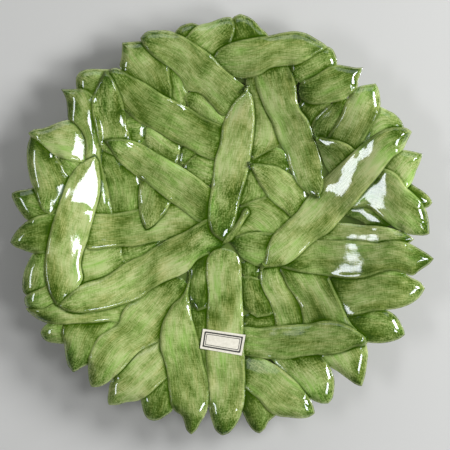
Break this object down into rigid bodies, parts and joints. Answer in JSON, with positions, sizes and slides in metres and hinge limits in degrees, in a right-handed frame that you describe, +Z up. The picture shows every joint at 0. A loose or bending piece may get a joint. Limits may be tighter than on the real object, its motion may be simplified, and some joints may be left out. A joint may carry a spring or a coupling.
{
  "type": "canape plate",
  "caption": "Shallow round serving plate moulded as a heap of overlapping green bean pods, with a jagged rim of pod tips, a low well and a plain foot ring, for handing round canapes.",
  "frame": {"origin": "Middle of the foot ring's standing plane, which is the bottom centre of the box around the plate.", "axes": "+Z up out of the well; +X to the right and +Y away from the viewer as pictured from above, with the paper label towards -Y."},
  "size_m": [0.2041, 0.2037, 0.0273],
  "materials": {
    "glaze_pale": "gloss, pale yellow-green glaze with brushed streaks",
    "glaze_leaf": "gloss, leaf-green glaze with brushed streaks",
    "glaze_deep": "gloss, dark green glaze",
    "paper": "matt"
  },
  "bodies": {
    "root": {"base_dish": "glaze_deep", "filler_pods": "glaze_deep", "upper_fillers": "glaze_leaf", "rim_pod_01": "glaze_leaf", "rim_pod_02": "glaze_leaf", "rim_pod_03": "glaze_pale", "rim_pod_04": "glaze_deep", "rim_pod_05": "glaze_leaf", "rim_pod_06": "glaze_leaf", "rim_pod_07": "glaze_deep", "rim_pod_08": "glaze_leaf", "rim_pod_09": "glaze_deep", "rim_pod_10": "glaze_leaf", "rim_pod_11": "glaze_deep", "rim_pod_12": "glaze_pale", "rim_pod_13": "glaze_leaf", "rim_pod_14": "glaze_leaf", "rim_pod_15": "glaze_leaf", "rim_pod_16": "glaze_deep", "rim_pod_17": "glaze_pale", "rim_pod_18": "glaze_leaf", "rim_pod_19": "glaze_pale", "rim_pod_20": "glaze_leaf", "rim_pod_21": "glaze_leaf", "rim_pod_22": "glaze_leaf", "rim_pod_23": "glaze_leaf", "rim_pod_24": "glaze_deep", "rim_pod_25": "glaze_leaf", "rim_pod_26": "glaze_deep", "rim_pod_27": "glaze_deep", "rim_pod_28": "glaze_leaf", "rim_pod_29": "glaze_deep", "rim_pod_30": "glaze_leaf", "rim_pod_31": "glaze_deep", "rim_pod_32": "glaze_leaf", "rim_pod_33": "glaze_leaf", "rim_pod_34": "glaze_leaf", "rim_pod_35": "glaze_pale", "rim_pod_36": "glaze_leaf", "rim_pod_37": "glaze_leaf", "rim_pod_38": "glaze_deep", "well_pod_01": "glaze_pale", "well_pod_02": "glaze_pale", "well_pod_03": "glaze_leaf", "well_pod_04": "glaze_pale", "well_pod_05": "glaze_leaf", "well_pod_06": "glaze_pale", "well_pod_07": "glaze_leaf", "well_pod_08": "glaze_leaf", "well_pod_09": "glaze_leaf", "well_pod_10": "glaze_pale", "well_pod_11": "glaze_leaf", "well_pod_12": "glaze_leaf", "well_pod_13": "glaze_pale", "long_pod_noon": "glaze_pale", "long_pod_two": "glaze_leaf", "long_pod_six": "glaze_pale", "long_pod_eight": "glaze_pale", "paper_label": "paper"}
  },
  "joints": []
}
